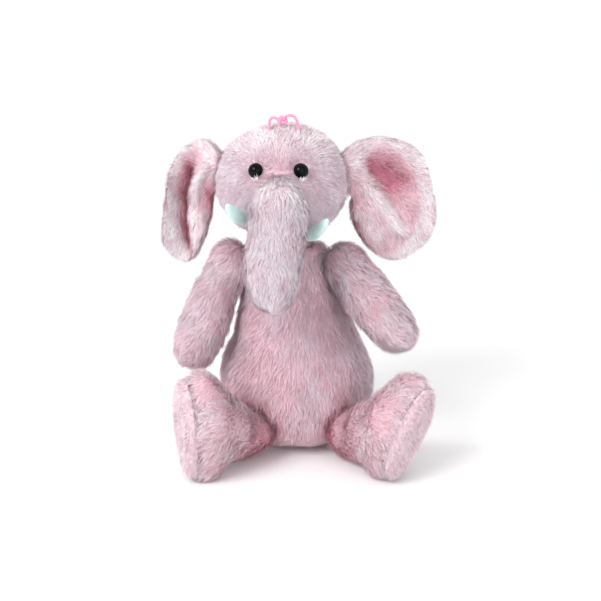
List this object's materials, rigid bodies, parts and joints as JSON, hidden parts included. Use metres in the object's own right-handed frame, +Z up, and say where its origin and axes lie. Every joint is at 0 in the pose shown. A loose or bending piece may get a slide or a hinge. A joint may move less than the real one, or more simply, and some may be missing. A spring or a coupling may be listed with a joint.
{
  "type": "stuffed elephant",
  "caption": "Soft plush elephant sitting upright, with a hanging trunk, felt tusks, large flapping ears, sprung limbs and a tail.",
  "frame": {"origin": "on the floor under the middle of the torso's seat", "axes": "+Z up, the toy faces -Y, and its right side is at -X"},
  "size_m": [0.2342, 0.2192, 0.2769],
  "materials": {
    "plush": "long soft pile",
    "inner_ear_plush": "short soft pile",
    "sole_plush": "short curly pile",
    "tusk_felt": "smooth felt",
    "stuffing": "loose polyester fibre",
    "pouch_cloth": "plain woven",
    "pellets": "small round beads",
    "eye": "polished",
    "washer": "moulded",
    "cord": "soft satin"
  },
  "bodies": {
    "torso": {"torso_skin": "plush", "torso_stuffing": "stuffing", "pellet_pouch": "pouch_cloth", "pellets": "pellets"},
    "neck": {"neck_skin": "plush", "neck_stuffing": "stuffing"},
    "head": {"head_skin": "plush", "head_stuffing": "stuffing", "right_eye": "eye", "left_eye": "eye", "right_eye_washer": "washer", "left_eye_washer": "washer", "right_tusk": "tusk_felt", "left_tusk": "tusk_felt", "hang_loop": "cord", "hang_loop_knot": "cord"},
    "trunk": {"trunk_skin": "plush", "trunk_stuffing": "stuffing"},
    "right_ear": {"right_ear_back": "plush", "right_ear_batting": "stuffing", "right_ear_front": "inner_ear_plush"},
    "left_ear": {"left_ear_back": "plush", "left_ear_batting": "stuffing", "left_ear_front": "inner_ear_plush"},
    "right_arm": {"right_arm_skin": "plush", "right_arm_stuffing": "stuffing"},
    "left_arm": {"left_arm_skin": "plush", "left_arm_stuffing": "stuffing"},
    "right_leg": {"right_leg_skin": "plush", "right_leg_stuffing": "stuffing", "right_sole": "sole_plush"},
    "left_leg": {"left_leg_skin": "plush", "left_leg_stuffing": "stuffing", "left_sole": "sole_plush"},
    "tail": {"tail_skin": "plush", "tail_tuft": "plush"}
  },
  "joints": [
    {"name": "neck_turn", "type": "hinge", "parent": "torso", "child": "neck", "pos_m": [-0.012, -0.003, 0.173], "axis": [0, 0, 1], "range_deg": [-30, 30], "stiffness_Nm_per_rad": 0.25},
    {"name": "head_nod", "type": "hinge", "parent": "neck", "child": "head", "pos_m": [-0.012, -0.003, 0.173], "axis": [1, 0, 0], "range_deg": [-18, 18], "stiffness_Nm_per_rad": 0.35},
    {"name": "trunk_lift", "type": "hinge", "parent": "head", "child": "trunk", "pos_m": [-0.016, -0.067, 0.207], "axis": [-1, 0, 0], "range_deg": [-2, 70], "stiffness_Nm_per_rad": 0.06},
    {"name": "right_ear_flap", "type": "hinge", "parent": "head", "child": "right_ear", "pos_m": [-0.066, -0.004, 0.25], "axis": [0.1871, 0, 0.9823], "range_deg": [-20, 14], "stiffness_Nm_per_rad": 0.03},
    {"name": "left_ear_flap", "type": "hinge", "parent": "head", "child": "left_ear", "pos_m": [0.036, -0.004, 0.25], "axis": [0.1871, 0, -0.9823], "range_deg": [-12, 20], "stiffness_Nm_per_rad": 0.03},
    {"name": "right_arm_swing", "type": "hinge", "parent": "torso", "child": "right_arm", "pos_m": [-0.057, -0.013, 0.157], "axis": [-1, 0, 0], "range_deg": [-3, 40], "stiffness_Nm_per_rad": 0.08},
    {"name": "left_arm_swing", "type": "hinge", "parent": "torso", "child": "left_arm", "pos_m": [0.0355, -0.017, 0.156], "axis": [-1, 0, 0], "range_deg": [-2, 26], "stiffness_Nm_per_rad": 0.08},
    {"name": "right_leg_splay", "type": "hinge", "parent": "torso", "child": "right_leg", "pos_m": [-0.0425, -0.054, 0.024], "axis": [0, 0, -1], "range_deg": [-28, 22], "stiffness_Nm_per_rad": 0.12},
    {"name": "left_leg_splay", "type": "hinge", "parent": "torso", "child": "left_leg", "pos_m": [0.0425, -0.054, 0.024], "axis": [0, 0, 1], "range_deg": [-28, 22], "stiffness_Nm_per_rad": 0.12},
    {"name": "tail_wag", "type": "hinge", "parent": "torso", "child": "tail", "pos_m": [-0.002, 0.066, 0.04], "axis": [0, 0, 1], "range_deg": [-35, 35], "stiffness_Nm_per_rad": 0.01}
  ]
}
